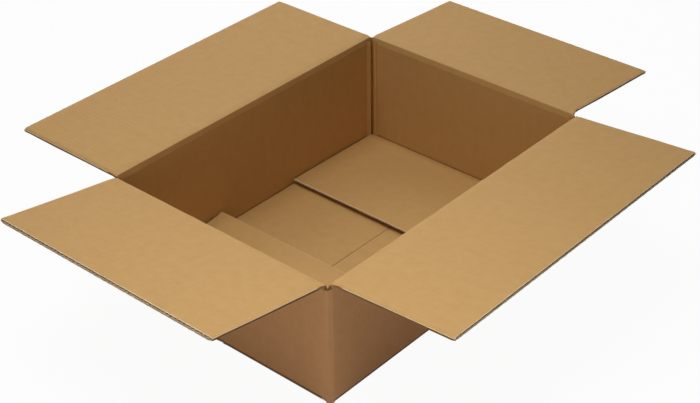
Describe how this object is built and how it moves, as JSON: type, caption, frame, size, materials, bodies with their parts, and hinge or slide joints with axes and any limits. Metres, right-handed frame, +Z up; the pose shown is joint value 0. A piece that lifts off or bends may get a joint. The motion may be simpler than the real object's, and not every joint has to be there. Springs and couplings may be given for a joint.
{
  "type": "open cardboard box",
  "caption": "Open-top slotted carton of double-wall corrugated board, folded from one sheet, with hinged top flaps standing open and a closed bottom, for packing goods.",
  "frame": {"origin": "on the ground under the middle of the box", "axes": "+X along the long walls, +Y along the short walls, +Z up"},
  "size_m": [1.0158, 0.8516, 0.2359],
  "materials": {
    "kraft_body": "matte",
    "kraft_flap": "matte"
  },
  "bodies": {
    "box": {"body": "kraft_body"},
    "front_flap": {"long_flap_front": "kraft_flap"},
    "back_flap": {"long_flap_back": "kraft_flap"},
    "left_flap": {"short_flap_left": "kraft_flap"},
    "right_flap": {"short_flap_right": "kraft_flap"}
  },
  "joints": [
    {"name": "front_crease", "type": "hinge", "parent": "box", "child": "front_flap", "pos_m": [0, -0.2135, 0.2035], "axis": [-1, 0, 0], "range_deg": [-62.4, 175.6]},
    {"name": "back_crease", "type": "hinge", "parent": "box", "child": "back_flap", "pos_m": [0, 0.2135, 0.2035], "axis": [1, 0, 0], "range_deg": [-57.5, 180.5]},
    {"name": "left_crease", "type": "hinge", "parent": "box", "child": "left_flap", "pos_m": [-0.2965, 0, 0.1987], "axis": [0, 1, 0], "range_deg": [-66.1, 171.9]},
    {"name": "right_crease", "type": "hinge", "parent": "box", "child": "right_flap", "pos_m": [0.2965, 0, 0.1987], "axis": [0, -1, 0], "range_deg": [-53.8, 184.2]}
  ]
}
